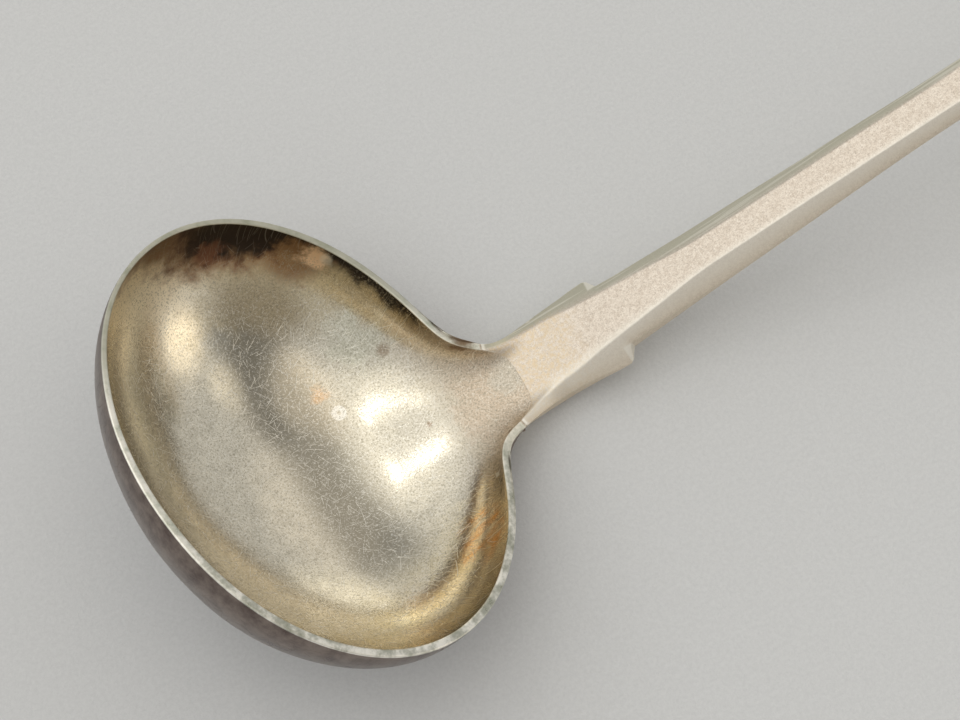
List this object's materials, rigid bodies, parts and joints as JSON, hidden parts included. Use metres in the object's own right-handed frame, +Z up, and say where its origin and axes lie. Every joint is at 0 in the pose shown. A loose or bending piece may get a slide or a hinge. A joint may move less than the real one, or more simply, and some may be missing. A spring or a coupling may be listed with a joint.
{
  "type": "serving ladle",
  "caption": "Small fiddle-pattern metal ladle with a wide oval bowl, a steep bevelled stem and a flat rounded handle end, for sauce or hot toddy.",
  "frame": {"origin": "the point where the back of the bowl touches the table when the ladle lies at rest", "axes": "+X from the bowl along the handle, +Z up from the table, +Y completes the right-handed set; the ladle is mirror-symmetric about the XZ plane"},
  "size_m": [0.1749, 0.06, 0.0333],
  "materials": {
    "bowl_metal": "polished",
    "stem_metal": "satin",
    "solder": "satin"
  },
  "bodies": {
    "root": {"bowl": "bowl_metal", "stem": "stem_metal", "solder_joint": "solder"}
  },
  "joints": []
}
